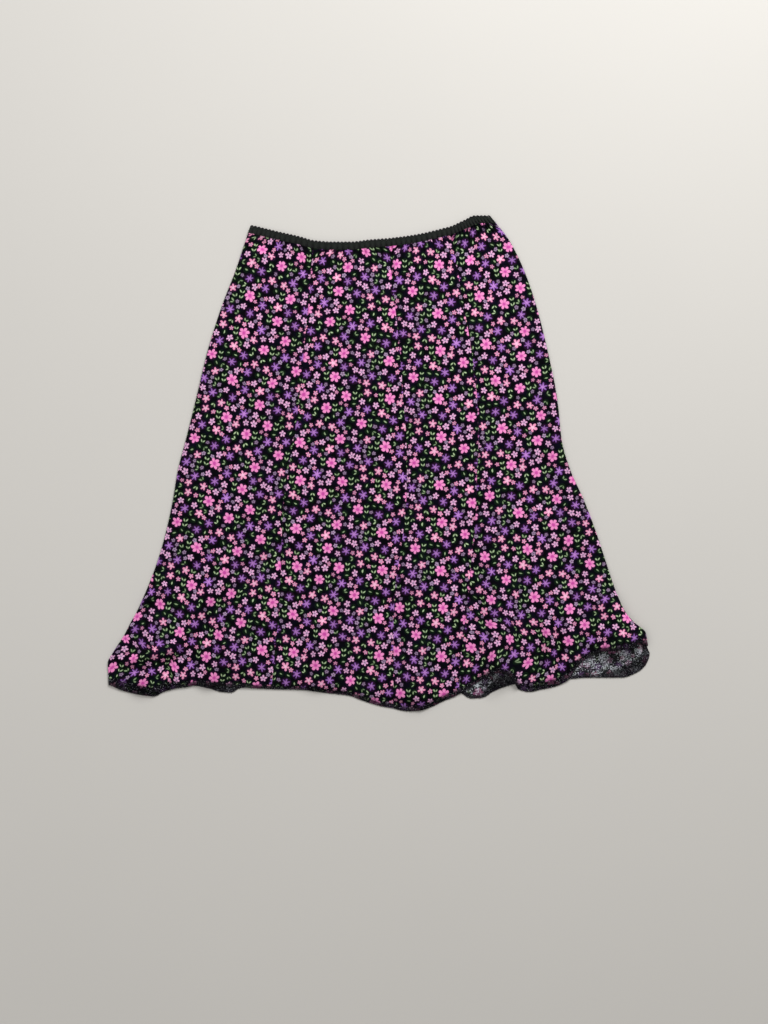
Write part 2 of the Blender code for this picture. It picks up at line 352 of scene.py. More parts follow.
def fold_rise(fold, place, level):
    share = clamp((fold.top_level - level) / (fold.top_level - fold.hem_level))
    axis = mix(fold.top_place, fold.hem_place, share)
    width = mix(fold.top_width, fold.hem_width, share)
    return fold.rise * ease(share) * math.exp(-(((place - axis) / width) ** 2))


def elastic_hold(station, level, fade):
    """How strongly the elastic gathers the cloth: fully at its seam, less and less down the cloth."""
    below = gore_top(station) - level
    return ease(1 + below / ELASTIC_HEIGHT) * math.exp(-max(below, 0.0) / fade)


def gather_rise(station, level):
    """The height of the gathers under the elastic."""
    unevenness = 1 + GATHER_UNEVEN * math.sin(GATHER_BEAT * station)
    wave = (1 - math.cos(FULL_TURN * GATHERS_PER_GORE * station)) / 2
    return GATHER_RISE * elastic_hold(station, level, GATHER_FADE) * unevenness * wave


def overhang(station, level):
    """How far the front hangs free below the back's hem, from 0 to 1."""
    return ease((HEM_LEVELS["back"](station) - level) / DROOP)


def plain_front_height(place, level, station):
    """The height of the front layer's middle, with the large folds and gathers only."""
    loft = BODY_LOFT * math.sin(math.pi * station / GORE_COUNT)
    rest = mix(FRONT_REST + loft, CAD_WALL / 2, overhang(station, level))
    folds = sum(fold_rise(fold, place, level) for fold in FOLDS)
    return rest + folds + gather_rise(station, level)


# A crease runs on past both its ends by a share of its length, and reaches so many widths aside.
CREASE_OVERRUN = 0.1
CREASE_TAPER = 1.2
CREASE_REACH = 3


def crease_drop(crease, place, level):
    """How far one crease lowers the cloth: deepest at its middle, tapering off at both ends."""
    run = crease.last_place - crease.first_place
    fall = crease.last_level - crease.first_level
    length = math.hypot(run, fall)
    beside, above = place - crease.first_place, level - crease.first_level
    along = (beside * run + above * fall) / length**2
    if not -CREASE_OVERRUN < along < 1 + CREASE_OVERRUN:
        return 0.0
    aside = (beside * fall - above * run) / length
    if abs(aside) > CREASE_REACH * crease.width:
        return 0.0
    taper = ease(CREASE_TAPER * (1 - abs(2 * along - 1)) + CREASE_OVERRUN)
    return crease.depth * taper * math.exp(-((aside / crease.width) ** 2))


RIPPLES = table("across along rise offset", ((46, 90, 1.5, 3.1), (19, 34, 0.6, 17.7), (8, 12, 0.14, 41.3)))
PUCKERS_PER_GORE = 13
PUCKER_RISE = 1.1
PUCKER_FADE = 17.0
PUCKER_SWAY = 2.2
PUCKER_BEAT = 3.7
# The front's middle stays at least this high, clear of the back, and its raw edge rolls down.
LEAST_CLEAR = 1.9
HEM_ROLL = 4.4
HEM_ROLL_REACH = 13.0


def fine_relief(station, place, level):
    """Creases, ripples and the small puckers under the elastic, on top of the plain form."""
    relief = -sum(crease_drop(crease, place, level) for crease in CREASES)
    for ripple in RIPPLES:
        spot = Vector((place / ripple.across, level / ripple.along, ripple.offset))
        relief += ripple.rise * noise.noise(spot)
    sway = PUCKER_SWAY * math.sin(PUCKER_BEAT * station)
    pucker = math.sin(FULL_TURN * PUCKERS_PER_GORE * station + sway)
    above_hem = max(level - HEM_LEVELS["front"](station), 0.0)
    roll = HEM_ROLL * math.exp(-above_hem / HEM_ROLL_REACH)
    return relief + PUCKER_RISE * elastic_hold(station, level, PUCKER_FADE) * pucker - roll


def front_height(place, level, strength):
    station = station_at(place, level)
    plain = plain_front_height(place, level, station)
    least = mix(LEAST_CLEAR, CAD_WALL / 2, overhang(station, level))
    return max(plain + strength * fine_relief(station, place, level), min(plain, least))


def cloth_point(layer, station, bend, level, strength):
    """The middle of a layer, in the tables' millimetres.

    The bend goes from 0, out on a side fold, to FLAT_TURN where the cloth lies flat.
    """
    outward = -1 if station < GORE_COUNT / 2 else 1
    near_fold = max(1 - station, station - (GORE_COUNT - 1), 0.0)
    half_wall = CAD_WALL / 2
    place = across(station, level)
    if near_fold > 0:
        fold_station = 0 if outward < 0 else GORE_COUNT
        fold_height = plain_front_height(across(fold_station, level), level, fold_station)
        radius = TURN_LEAST + TURN_SHARE * (fold_height - half_wall) / 2
        above_hem = level - HEM_LEVELS[layer](fold_station)
        radius *= mix(HEM_TURN, 1.0, ease(above_hem / HEM_TURN_REACH))
        place -= outward * radius * (1 - math.cos(bend)) * near_fold
    height = front_height(place, level, strength) if layer == "front" else half_wall
    if near_fold > 0:
        height = mix((fold_height + half_wall) / 2, height, math.sin(bend))
    return Vector((place, level, height))


def in_frame(point):
    """A point of the tables in the frame's metres."""
    return Vector((point.x + MIDDLE_SHIFT[0], point.y + MIDDLE_SHIFT[1], point.z)) * MM


# Mesh tools
SMOOTH_ANGLE = 50
THREAD_ANGLE = 80
# A fresh grid reaches this far from the origin on each side.
HALF_GRID = 0.5
# The second material of a sheet is that of its inner side.
INNER_MATERIAL = 1
# The UV map that holds a sheet's flat cut, and the attribute that holds the height above its hem
CUT_MAP = "Cut"
HEM_MAP = "Above Hem"


def deselect_all():
    if bpy.context.mode != "OBJECT":
        bpy.ops.object.mode_set(mode="OBJECT")
    bpy.ops.object.select_all(action="DESELECT")


def select_only(piece):
    deselect_all()
    piece.select_set(True)
    bpy.context.view_layer.objects.active = piece


def just_added(name):
    """What an operator has just added or converted, under its new name."""
    made = bpy.context.active_object
    made.name = name
    made.data.name = name
    return made


def grid_of(columns, rows, value_at):
    """Rows, from the bottom up, of what a function gives for a share of the way across and up."""
    shares = [step / columns for step in range(columns + 1)]
    return [[value_at(share, row / rows) for share in shares] for row in range(rows + 1)]


def thicken(piece, thickness):
    """Gives a sheet its wall, half to each side, its inner side in the second material."""
    wall = piece.modifiers.new("Wall", "SOLIDIFY")
    wall.thickness = thickness
    wall.offset = 0.0
    wall.use_rim = True
    wall.material_offset = INNER_MATERIAL
    wall.material_offset_rim = INNER_MATERIAL
    select_only(piece)
    bpy.ops.object.modifier_apply(modifier=wall.name)


def shade_smooth(piece, angle):
    select_only(piece)
    bpy.ops.object.shade_smooth_by_angle(angle=math.radians(angle))


def shape_grid(grid, points, places, above_hem):
    """Moves a grid's points to those given, lays out its UV map and keeps the heights above its hem."""
    rows, columns = len(points) - 1, len(points[0]) - 1
    steps = []
    for vertex in grid.data.vertices:
        row = round((vertex.co.y + HALF_GRID) * rows)
        step = round((vertex.co.x + HALF_GRID) * columns)
        steps.append((row, step))
        vertex.co = in_frame(points[row][step])
    uv_map = grid.data.uv_layers.active
    uv_map.name = CUT_MAP
    for loop in grid.data.loops:
        row, step = steps[loop.vertex_index]
        uv_map.data[loop.index].uv = places[row][step]
    if above_hem:
        heights = grid.data.attributes.new(HEM_MAP, "FLOAT", "POINT")
        for (row, step), height in zip(steps, heights.data):
            height.value = above_hem[row][step]


def make_sheet(name, layer, points, places, wall, materials, above_hem=None):
    """A thin shell through rows of points, facing out, with the places of its flat cut."""
    deselect_all()
    columns, rows = len(points[0]) - 1, len(points) - 1
    size = 2 * HALF_GRID
    bpy.ops.mesh.primitive_grid_add(x_subdivisions=columns, y_subdivisions=rows, size=size, calc_uvs=True)
    sheet = just_added(name)
    shape_grid(sheet, points, places, above_hem)
    for material in materials:
        sheet.data.materials.append(material)
    if layer == "back":
        sheet.data.flip_normals()
    thicken(sheet, wall)
    shade_smooth(sheet, SMOOTH_ANGLE)
    return sheet


def finish_piece(piece, slot, *nodes):
    """Puts a finished piece on the frame, in place of the nodes that it stands for."""
    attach(piece, BODY)
    if nodes:
        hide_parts(*nodes)


# Cloth panels
TURN_COLUMN_SHARE = 0.07
EDGE_CROWDING = 0.6
SEAM_ROLL_REACH = 4.5
FLOOR_CLEAR = 0.1
# The print of each panel starts this far on from its neighbour's, as on cloth that was cut up.
PANEL_OFFSET = (0.037, 0.053)
LAYER_OFFSET = {"front": 0.0, "back": 0.029}

ROLL_SHADE = "station width"
# The dark band above the hem is this much wider where the edge rolls under, and on the back
# in the hollows under the raised front. This widening is painted shade.
ROLL_SHADES = {
    "front": table(ROLL_SHADE, (
        (0.0, 5), (0.12, 11), (0.33, 9), (0.5, 2), (1.0, 1), (1.6, 2), (2.0, 3), (2.5, 4), (2.9, 5),
        (3.2, 3), (3.35, 6), (3.56, 9), (3.7, 2), (3.9, 2), (4.0, 5),
    )),
    "back": table(ROLL_SHADE, (
        (0.0, 3), (0.5, 4), (0.8, 6), (1.0, 0), (3.1, 0), (3.2, 13), (3.3, 10), (3.36, 0), (3.72, 0),
        (3.86, 11), (4.0, 22),
    )),
}
roll_shade_width = {layer: smooth_curve(rolls) for layer, rolls in ROLL_SHADES.items()}


def column_place(gore, share):
    """The (station, bend) of a share of the way across a gore's grid, crowded at both edges."""
    share -= EDGE_CROWDING * math.sin(FULL_TURN * share) / FULL_TURN
    start = TURN_COLUMN_SHARE if gore.first_station == 0 else 0.0
    end = 1 - TURN_COLUMN_SHARE if gore.first_station == GORE_COUNT - 1 else 1.0
    past = max(start - share, share - end, 0.0) / TURN_COLUMN_SHARE
    station = gore.first_station + clamp((share - start) / (end - start))
    return station, FLAT_TURN * (1 - past)


def seam_drop(station, level, roll):
    """How far the cloth rolls down beside the nearest seam."""
    seam = min(max(round(station), 1), GORE_COUNT - 1)
    distance = abs(across(station, level) - across(seam, level)) / SEAM_ROLL_REACH
    return roll * max(0.0, 1 - distance) ** 2


def panel_point(layer, gore, share_across, share_down, cloth):
    """The middle of a gore's cloth at a share of the way across and down it."""
    station, bend = column_place(gore, share_across)
    level = gore_level(layer, station, share_down)
    point = cloth_point(layer, station, bend, level, cloth.crease_strength)
    if 0 < station < GORE_COUNT and share_across in (0, 1):
        point.x += SEAM_GAP / 2 if share_across == 0 else -SEAM_GAP / 2
    if layer == "front" and bend == FLAT_TURN:
        point.z -= seam_drop(station, level, cloth.seam_roll / MM)
    lowest = cloth.wall / MM / 2 + FLOOR_CLEAR
    return Vector((point.x, point.y, max(point.z, lowest)))


def dark_band_height(layer, gore, share_across, share_down):
    """How far a place is above the hem, in millimetres, less the width of painted shade where the edge
    rolls under.
    """
    station, _ = column_place(gore, share_across)
    above = gore_level(layer, station, share_down) - HEM_LEVELS[layer](station)
    return above - roll_shade_width[layer](station)


def spare_along(line, start):
    """How much longer the cloth runs, from one point of a line to each, than it looks from above."""
    spare = [0.0]
    for first, second in zip(line, line[1:]):
        step = second - first
        spare.append(spare[-1] + step.length - step.to_2d().length)
    return [value - spare[start] for value in spare]


def cut_places(points, along, down):
    """Where each point of a panel lies in its flat cut, in metres, its top middle at a given place.

    The panel's own line from waist to hem gives the grain, and what the folds take up is added.
    """
    middle = len(points[0]) // 2
    top = points[-1][middle].to_2d()
    grain = (points[0][middle].to_2d() - top).normalized()
    side = Vector((-grain.y, grain.x))
    wider = [spare_along(line, middle) for line in points]
    shorter = zip(*(spare_along(column, -1) for column in zip(*points)))
    places = []
    for line in zip(points, wider, shorter):
        flat = [(point.to_2d() - top, width, length) for point, width, length in zip(*line)]
        places.append([
            ((spot.dot(side) + width) * MM + along, (spot.dot(grain) - length) * MM + down)
            for spot, width, length in flat
        ])
    return places


Cut = namedtuple("Cut", "width length area")


def line_length(line):
    return sum((second - first).length for first, second in zip(line, line[1:]))


def measure_cut(points):
    """The flat size and area of the cloth in a grid of points, in metres."""
    width = max(line_length(line) for line in points)
    length = line_length([line[len(line) // 2] for line in points])
    area = 0.0
    for lower, upper in zip(points, points[1:]):
        for step in range(len(lower) - 1):
            first = upper[step + 1] - lower[step]
            second = upper[step] - lower[step + 1]
            area += first.cross(second).length / 2
    return Cut(width * MM, length * MM, area * MM * MM)


def make_panel(layer, gore, columns, rows, cloth):
    """One gore as a thin shell along the garment's form, printed outside and faded inside."""
    points = grid_of(columns, rows, lambda along, up: panel_point(layer, gore, along, 1 - up, cloth))
    above_hem = grid_of(columns, rows, lambda along, up: dark_band_height(layer, gore, along, 1 - up))
    shifts = [gore.first_station * offset + LAYER_OFFSET[layer] for offset in PANEL_OFFSET]
    places = cut_places(points, *shifts)
    materials = [
        once("skirt_print_outside", cloth_finish, 0.0),
        once("skirt_print_inside", cloth_finish, cloth.wrong_side_fade),
    ]
    name = f"{layer}_panel_{gore.place}"
    panel = make_sheet(name, layer, points, places, cloth.wall, materials, above_hem)
    finish_piece(panel, "printed_cloth", f"{layer}_gore_{gore.place}")
    cut = measure_cut(points)


# Sewing threads
EdgePlace = namedtuple("EdgePlace", "reached point inward")
EDGE_STEPS = 1600
FOLD_STEPS = 8
INWARD_STEP = 2.0


def edge_of(layer, first, last, level_at, inward_step, strength):
    """An edge of the cloth from one station to another, as its points with the way into the cloth."""
    turn = [FLAT_TURN * step / FOLD_STEPS for step in range(FOLD_STEPS)]
    count = round(EDGE_STEPS * (last - first) / GORE_COUNT)
    steps = [(mix(first, last, step / count), FLAT_TURN) for step in range(count + 1)]
    if first == 0:
        steps = [(float(first), bend) for bend in turn] + steps
    if last == GORE_COUNT:
        steps += [(float(last), bend) for bend in reversed(turn)]
    edge, reached, before = [], 0.0, None
    for station, bend in steps:
        level = level_at(station)
        point = cloth_point(layer, station, bend, level, strength)
        inner = cloth_point(layer, station, bend, level + inward_step, strength)
        reached += (point - before).length if before else 0.0
        edge.append(EdgePlace(reached, point, (inner - point).normalized()))
        before = point
    return edge


# One stitch: how far along its pitch, how far into the cloth and how far above its middle
STITCH = "along inward height"


def thread_along(edge, pitch, stitch):
    """The places of a thread that repeats one stitch along an edge."""
    marks = [place.reached for place in edge]
    count = int(marks[-1] / pitch)
    thread = []
    for number in range(count):
        for spot in stitch:
            reach = (number + spot.along) * marks[-1] / count
            after = min(max(bisect(marks, reach), 1), len(edge) - 1)
            first, second = edge[after - 1], edge[after]
            share = (reach - first.reached) / (second.reached - first.reached)
            along = (second.point - first.point).normalized()
            inward = first.inward.lerp(second.inward, share)
            upward = along.cross(inward).normalized()
            upward *= 1 if upward.z >= 0 else -1
            point = first.point.lerp(second.point, share)
            thread.append(point + inward * spot.inward + upward * spot.height)
    return thread


def make_thread(name, places, thickness, parent):
    """A sewing thread through the places, made as a round curve and turned into a mesh."""
    material = once("skirt_thread", thread_finish)
    deselect_all()
    bpy.ops.curve.primitive_nurbs_path_add()
    curve = just_added(name).data
    curve.splines.clear()
    spline = curve.splines.new("POLY")
    spline.points.add(len(places) - 1)
    lowest = thickness / MM / 2 + FLOOR_CLEAR / 2
    for point, place in zip(spline.points, places):
        raised = Vector((place.x, place.y, max(place.z, lowest)))
        point.co = (*in_frame(raised), 1.0)
    curve.bevel_depth = thickness / 2
    curve.bevel_resolution = 0
    curve.use_fill_caps = True
    bpy.ops.object.convert(target="MESH")
    thread = just_added(name)
    thread.data.materials.clear()
    thread.data.materials.append(material)
    thread.parent = parent
    shade_smooth(thread, THREAD_ANGLE)
    finish_piece(thread, "waist_elastic")


# An overlock stitch wraps the edge: over the top, round the edge, back underneath and up through. Its
# reach into the cloth is in shares of the stitch's depth, and its height in half walls of the cloth.
OVERLOCK = (
    (0.00, 1.00, 0.6), (0.12, 0.72, 1.3), (0.30, 0.25, 1.3), (0.45, -0.12, 0.9),
    (0.55, -0.16, -0.4), (0.68, 0.20, -1.1), (0.84, 0.66, -1.1), (0.95, 0.95, -0.4),
)
# The thread's loops stray up and down the cloth, in a way of their own on each layer.
FRIZZ = 1.5
FRIZZ_BEAT = 0.83
FRIZZ_OFFSET = {"front": 5, "back": 4}


def overlock_hem(layer, gore, hem, cloth):
    """The thread that wraps the raw hem edge of one gore."""
    first, last = gore.first_station, gore.first_station + 1
    edge = edge_of(layer, first, last, HEM_LEVELS[layer], INWARD_STEP, cloth.crease_strength)
    half = cloth.wall / MM / 2
    depth = hem.depth / MM
    stitch = [(along, inward * depth, height * half) for along, inward, height in OVERLOCK]
    places = thread_along(edge, hem.pitch / MM, table(STITCH, stitch))
    for number, place in enumerate(places):
        place.y += FRIZZ * noise.noise(Vector((number * FRIZZ_BEAT, first, FRIZZ_OFFSET[layer])))
    panel = bpy.data.objects[f"{layer}_panel_{gore.place}"]
    make_thread(f"{layer}_overlock_{gore.place}", places, hem.thread, panel)


# Waist elastic
STEPS_PER_PICOT = 8
BAND_ROWS = 15
BAND_OVERLAP = 1.05
RIBS_PER_PICOT = 2
BAND_RIDGES = 4
SCALLOP_RISE = 1.6
# A picot is a small loop of thread that stands out of the elastic's upper edge.
PICOT = (
    (0.00, 1.6, 0.0), (0.10, 0.6, 0.1), (0.24, -0.3, 0.2), (0.42, -0.9, 0.2),
    (0.58, -0.9, 0.2), (0.76, -0.3, 0.2), (0.90, 0.6, 0.1), (0.99, 1.6, 0.0),
)
ZIGZAG = ((0.0, 6.2, 1.15), (0.25, 7.4, 1.2), (0.5, 8.6, 1.15), (0.75, 7.4, 1.2))
PICOT_THREAD = 0.0015
ZIGZAG_PITCH = 3.2


def band_point(layer, share_along, share_up, elastic, strength):
    """The middle of the waist elastic at a share of the way along and up it."""
    turn = TURN_COLUMN_SHARE / GORE_COUNT
    along = clamp((share_along - turn) / (1 - 2 * turn))
    bend = FLAT_TURN * min(share_along / turn, (1 - share_along) / turn, 1.0)
    station = GORE_COUNT * along
    picot_beat = math.pi * elastic.picots * along
    top = waist_level(station) - SCALLOP_RISE * (1 - abs(math.sin(picot_beat)))
    level = mix(waist_level(station) - ELASTIC_HEIGHT - BAND_OVERLAP, top, share_up)
    point = cloth_point(layer, station, bend, level, strength)
    rib = math.cos(2 * picot_beat * RIBS_PER_PICOT) * math.cos(FULL_TURN * BAND_RIDGES * share_up)
    point.z += elastic.rib_rise / MM * rib * math.sin(bend)
    return Vector((point.x, point.y, max(point.z, elastic.wall / MM / 2 + FLOOR_CLEAR)))


def make_band(layer, elastic, cloth):
    """The front or back half of the waist elastic, a ribbed band."""
    columns = elastic.picots * STEPS_PER_PICOT
    strength = cloth.crease_strength
    points = grid_of(columns, BAND_ROWS, lambda along, up: band_point(layer, along, up, elastic, strength))
    cut = measure_cut(points)
    places = grid_of(columns, BAND_ROWS, lambda along, up: (cut.width * along, cut.length * up))
    materials = [once("skirt_elastic", elastic_finish)]
    band = make_sheet(f"waist_band_{layer}", layer, points, places, elastic.wall, materials)
    finish_piece(band, "waist_elastic", f"waist_elastic_{layer}")
    return band


def sew_band(layer, band, elastic, hem, cloth):
    """The picot loops along the elastic's top, and in front the zigzag that holds it to the cloth."""
    edge = edge_of(layer, 0, GORE_COUNT, waist_level, -INWARD_STEP, cloth.crease_strength)
    loops = thread_along(edge, edge[-1].reached / elastic.picots, table(STITCH, PICOT))
    make_thread(f"waist_picots_{layer}", loops, PICOT_THREAD, band)
    if layer == "front":
        zigzag = thread_along(edge, ZIGZAG_PITCH, table(STITCH, ZIGZAG))
        make_thread(f"waist_zigzag_{layer}", zigzag, hem.thread, band)


# Materials: a socket with arithmetic, and one method for every node
NOISE_MEAN = 0.5


class Value:
    """A number that varies over a surface; arithmetic on it adds Math nodes."""

    def __init__(self, finish, socket):
        self.finish = finish
        self.socket = socket

    def __lt__(self, other):
        return self.finish.math("LESS_THAN", self, other)

    def __gt__(self, other):
        return self.finish.math("GREATER_THAN", self, other)

    def __abs__(self):
        return self.finish.math("ABSOLUTE", self)


def overload(symbol, operation):
    """Gives values an operator and its reflected form, each as a Math node."""
    setattr(Value, f"__{symbol}__", lambda value, other: value.finish.math(operation, value, other))
    setattr(Value, f"__r{symbol}__", lambda value, other: value.finish.math(operation, other, value))


for symbol, operation in (
    ("add", "ADD"), ("sub", "SUBTRACT"), ("mul", "MULTIPLY"), ("truediv", "DIVIDE"), ("pow", "POWER"),
):
    overload(symbol, operation)


class Finish:
    """One material: its shader, and the nodes that feed it."""

    def __init__(self, name):
        self.material = bpy.data.materials.new(name)
        self.material.use_nodes = True
        self.tree = self.material.node_tree
        self.shader = self.tree.nodes["Principled BSDF"]

    def node(self, kind, settings, values, output=0):
        """Adds a node with its settings, then the values or links of its sockets, by index or name."""
        made = self.tree.nodes.new(kind)
        for name, setting in settings.items():
            setattr(made, name, setting)
        for key, value in values.items():
            self.feed(made.inputs[key], value)
        return Value(self, made.outputs[output])

    def feed(self, socket, value):
        if isinstance(value, Value):
            self.tree.links.new(value.socket, socket)
        else:
            socket.default_value = value

    def math(self, operation, *values, held=False):
        settings = {"operation": operation, "use_clamp": held}
        return self.node("ShaderNodeMath", settings, dict(enumerate(values)))

    def within(self, value):
        """A number held between 0 and 1."""
        return self.math("ADD", value, 0.0, held=True)

    def vector(self, operation, *values, output="Vector"):
        return self.node("ShaderNodeVectorMath", {"operation": operation}, dict(enumerate(values)), output)

    def parts(self, vector):
        """The three numbers of a vector."""
        split = self.node("ShaderNodeSeparateXYZ", {}, {0: vector}).socket.node
        return [Value(self, socket) for socket in split.outputs]

    def blend(self, share, first, second):
        """A colour that goes from the first to the second."""
        values = {0: share, 6: with_alpha(first), 7: with_alpha(second)}
        return self.node("ShaderNodeMix", {"data_type": "RGBA"}, values, 2)

    def choose(self, share, first, second):
        """A vector that goes from the first to the second."""
        return self.node("ShaderNodeMix", {"data_type": "VECTOR"}, {0: share, 4: first, 5: second}, 1)

    def wave(self, place, pitch):
        return self.math("SINE", place * (FULL_TURN / pitch))

    def noise(self, place, spacing, detail, output="Fac"):
        values = {"Vector": place, "Scale": 1 / spacing, "Detail": detail}
        return self.node("ShaderNodeTexNoise", {}, values, output)

    def mottle(self, place, patches):
        """Where uneven patches show, from 0 to 1."""
        spread = self.noise(place, patches.spacing, patches.detail)
        return self.within(spread * patches.contrast - patches.start)

    def wander(self, place, spacing, reach):
        """A vector that drifts either way by up to half a reach."""
        drift = self.noise(place, spacing, detail=1, output="Color")
        drift = self.vector("SUBTRACT", drift, [NOISE_MEAN] * 3)
        return self.vector("MULTIPLY", drift, (reach, reach, 0.0))

    def cut_place(self):
        """The place on the flat cut, in millimetres."""
        flat = self.node("ShaderNodeUVMap", {"uv_map": CUT_MAP}, {})
        return self.vector("MULTIPLY", flat, (1 / MM, 1 / MM, 0.0))

    def bump(self, height, strength, depth):
        """Raises the surface by a height, so many metres for each 1 of it."""
        values = {"Height": height, "Strength": strength, "Distance": depth}
        self.feed(self.shader.inputs["Normal"], self.node("ShaderNodeBump", {}, values))

    def set(self, **sockets):
        for name, value in sockets.items():
            self.feed(self.shader.inputs[name.replace("_", " ")], value)


def with_alpha(colour):
    return colour if isinstance(colour, Value) else (*colour, 1.0)


def lit(colour, share):
    """A colour made darker, or lighter where the share is over 1."""
    return [min(1.0, part * share) for part in colour]


def once(name, make, *choices):
    """The material of that name, made on its first use."""
    return bpy.data.materials.get(name) or make(name, *choices)


# The print: flowers and leaves scattered over a repeat, larger ones first
KINDS = table("name count radius room petals waist point heart", (
    ("pink", 7, 8.7, 1.0, 6, 0.36, 0.48, 1.3),
    ("lilac", 13, 7.4, 0.88, 6, 0.17, 0.95, 1.0),
    ("peach", 9, 7.1, 0.88, 5, 0.24, 0.80, 1.2),
    ("pale", 17, 5.5, 0.94, 5, 0.24, 0.70, 0.9),
    ("leaf", 32, 4.4, 0.92, 0, 0, 0, 0),
    ("speck", 20, 4.0, 0.96, 5, 0.32, 0.66, 0.5),
    ("bud", 26, 3.6, 1.0, 5, 0.56, 0.60, 0.5),
))
# Beside each large flower stands a stack of leaf pairs: so far to the side, so far up or down.
LEAF_STACK = ((12.0, -4.6), (12.0, 2.6))
OPENS_UP = FULL_TURN / 4
LARGEST = KINDS[0]
Motif = namedtuple("Motif", "kind x y turn")
TRIES = 60
# A place in no motif has turn 0, so the turns of motifs start at this.
FIRST_TURN = 1


def round_gap(first, second, repeat):
    """The distance between two places of a repeat that joins on to itself on all sides."""
    gaps = [abs(first[axis] - second[axis]) for axis in range(2)]
    return math.hypot(*(min(gap, repeat - gap) for gap in gaps))


def scatter_motifs(repeat, seed):
    """Places every motif where, of many tries, it has the most room."""
    chance = random.Random(seed)
    motifs = []
    for kind in KINDS:
        for _ in range(kind.count):
            places = [(chance.uniform(0, repeat), chance.uniform(0, repeat)) for _ in range(TRIES)]
            rooms = [
                min(
                    (round_gap(place, (m.x, m.y), repeat) - m.kind.radius * m.kind.room for m in motifs),
                    default=repeat,
                )
                for place in places
            ]
            x, y = places[rooms.index(max(rooms))]
            motifs.append(Motif(kind, x, y, FIRST_TURN + chance.uniform(0, FULL_TURN)))
            if kind is LARGEST:
                motifs += leaf_stack(motifs[-1], repeat, chance.choice((-1, 1)))
    return motifs


def leaf_stack(flower, repeat, side):
    """Leaf pairs one above the other beside a large flower."""
    leaf = next(kind for kind in KINDS if kind.name == "leaf")
    return [
        Motif(leaf, (flower.x + side * aside) % repeat, (flower.y + down) % repeat, OPENS_UP)
        for aside, down in LEAF_STACK
    ]


def copies_in_view(motif, repeat):
    """A motif, and its copies where it reaches over the repeat's edges."""
    reach = motif.kind.radius
    for across_by in (-repeat, 0, repeat):
        for down_by in (-repeat, 0, repeat):
            x, y = motif.x + across_by, motif.y + down_by
            if -reach < x < repeat + reach and -reach < y < repeat + reach:
                yield x, y


# The edge of the ink fades out over this width.
SOFT_INK = 0.7
# These spread the turns of the motifs over lighter and darker ones, and over brighter and duller leaves.
TONE_BEAT = 5.3
AGE_BEAT = 3.7
Spot = namedtuple("Spot", "inside reach angle tone")


def nearest_motif(finish, place, kind, motifs, repeat):
    """Where a place lies in the motif of a kind that it falls in, or inside 0 where in none."""
    found = (0.0, 0.0, 0.0)
    for motif in motifs:
        if motif.kind is not kind:
            continue
        for x, y in copies_in_view(motif, repeat):
            near = finish.vector("DISTANCE", place, (x, y, 0.0), output="Value") < kind.radius
            found = finish.choose(near, found, (x, y, motif.turn))
    turn = finish.parts(found)[2]
    x, y, _ = finish.parts(finish.vector("SUBTRACT", place, found))
    angle = finish.math("WRAP", finish.math("ARCTAN2", y, x) + turn, math.pi, -math.pi)
    reach = finish.math("SQRT", x * x + y * y)
    return Spot(turn > FIRST_TURN / 2, reach, angle, finish.math("FRACT", turn * TONE_BEAT))


# The smallest flower of a kind, next to its largest, and how far out of the kind's radius petals reach
SMALLEST = 0.8
PETAL_REACH = 0.97


def flower_mask(finish, spot, kind):
    """The petals of a flower, how far out along them, how near a petal's middle, and its heart."""
    lobe = abs(finish.math("COSINE", spot.angle * (kind.petals / 2)))
    size = spot.tone * (SMALLEST - 1) + 1
    edge = (lobe ** kind.point * (1 - kind.waist) + kind.waist) * size * (kind.radius * PETAL_REACH)
    petals = finish.within((edge - spot.reach) / SOFT_INK) * spot.inside
    outward = spot.reach / edge
    heart = finish.within((kind.heart - spot.reach) / SOFT_INK) * spot.inside
    return petals, outward, lobe, heart


LEAF_LEAN = 0.62
LEAF_HALF_WIDTH = 1.2
LEAF_HALF_LENGTH = 2.7
LEAF_ASIDE = 1.75
LEAF_VEIN = 0.25
PAIRED_SHARE = 0.55


def leaf_mask(finish, spot):
    """A pointed leaf, or two that lean away from each other, and how near a place is to their veins."""
    up = finish.math("COSINE", spot.angle) * spot.reach
    middle = finish.math("SINE", spot.angle) * spot.reach
    side = middle + (abs(middle) - LEAF_ASIDE - middle) * (spot.tone < PAIRED_SHARE)
    along = (up * math.cos(LEAF_LEAN) + side * math.sin(LEAF_LEAN)) / LEAF_HALF_LENGTH
    aside = abs(side * math.cos(LEAF_LEAN) - up * math.sin(LEAF_LEAN))
    width = (1 - along * along) * LEAF_HALF_WIDTH
    vein = finish.within(1 - aside / LEAF_VEIN)
    return finish.within((width - aside) / SOFT_INK) * spot.inside, vein


def paints_of(look):
    """The paints of each kind of flower, how far its throat reaches and how deep its tones go."""
    return table("name petal throat heart throat_reach depth", (
        ("bud", look.bud, look.violet, look.violet, 0.10, 0.50),
        ("speck", look.coral, look.bud, look.peach, 0.20, 0.40),
        ("pale", look.pale, look.bud, look.violet, 0.20, 0.25),
        ("peach", look.coral, look.peach, look.peach, 0.30, 0.20),
        ("lilac", look.lilac, look.orchid, look.orchid, 0.40, 0.45),
        ("pink", look.pink, look.magenta, look.magenta, 0.22, 0.15),
    ))


# How much shade lies round a motif and how far a leaf's vein shows, then how sharply a petal starts
# beyond its throat and how it brightens towards its middle
SHADE_SHARE = 0.8
VEIN_SHARE = 0.5
THROAT_SHARPNESS = 4.0
LOBE_LIGHT = 1.8
LOBE_LEAST = 0.1


